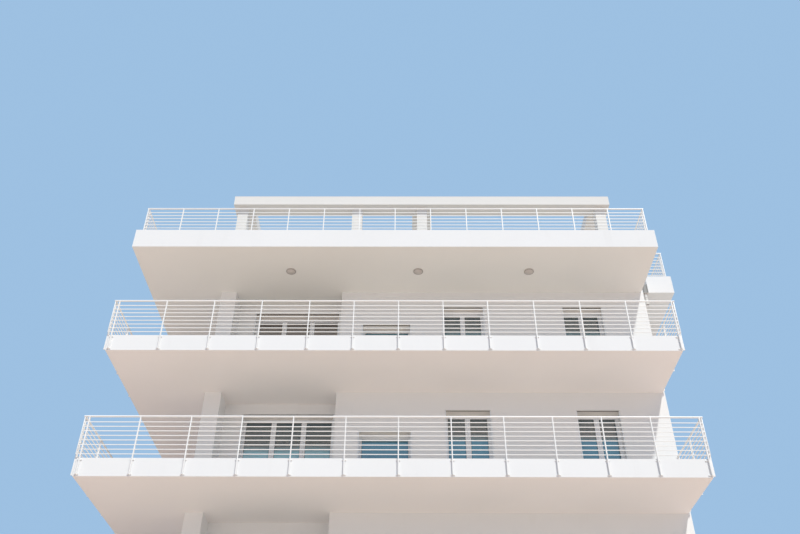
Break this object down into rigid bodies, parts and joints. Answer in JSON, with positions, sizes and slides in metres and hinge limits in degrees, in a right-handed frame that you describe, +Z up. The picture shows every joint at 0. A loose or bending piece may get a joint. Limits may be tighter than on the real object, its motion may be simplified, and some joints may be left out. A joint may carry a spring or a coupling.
{
  "type": "apartment block",
  "caption": "White rendered apartment block with balconies round two sides, slim metal railings, a recessed front bay and an open roof pergola.",
  "frame": {"origin": "on the ground, under the middle of the walled body", "axes": "the front faces -Y, +X is to the right seen from the front, +Z is up"},
  "size_m": [13.861, 12.0019, 18.184],
  "materials": {
    "render": "fine white painted render",
    "slab": "fine white painted render over concrete",
    "ground_concrete": "trowelled concrete",
    "railing": "satin white powder coat",
    "window_frame": "satin pale grey coat",
    "pane": "clear double glazing, dark inside",
    "slat": "matt brown shutter slat",
    "box_panel": "matt beige box panel",
    "sill_stone": "honed pale stone",
    "lamp_body": "matt grey lamp",
    "drain": "matt grey drain"
  },
  "bodies": {
    "root": {"ground_slab": "ground_concrete", "floor_slabs": "slab", "roof_slab": "slab", "roof_side_strip": "slab", "front_wall": "render", "recess_wall": "render", "recess_return": "render", "left_wall": "render", "right_wall": "render", "back_wall": "render", "front_railings_lower": "railing", "front_railings_upper": "railing", "left_railings_lower": "railing", "left_railings_upper": "railing", "right_end_railings": "railing", "back_end_railings": "railing", "roof_front_railing": "railing", "roof_side_railings": "railing", "roof_back_railing": "railing", "recess_door_frames": "window_frame", "small_window_frames": "window_frame", "balcony_door_frames": "window_frame", "side_window_frames": "window_frame", "back_window_frames": "window_frame", "recess_door_glass": "pane", "small_window_glass": "pane", "balcony_door_glass": "pane", "side_window_glass": "pane", "back_window_glass": "pane", "shutter_slats": "slat", "shutter_guides": "window_frame", "shutter_box_panels": "box_panel", "window_sills": "sill_stone", "ceiling_lamps": "lamp_body", "roof_drain": "drain", "pergola_front_beam": "render", "pergola_back_beam": "render", "pergola_cross_beams": "render", "pergola_pillars": "render"}
  },
  "joints": []
}
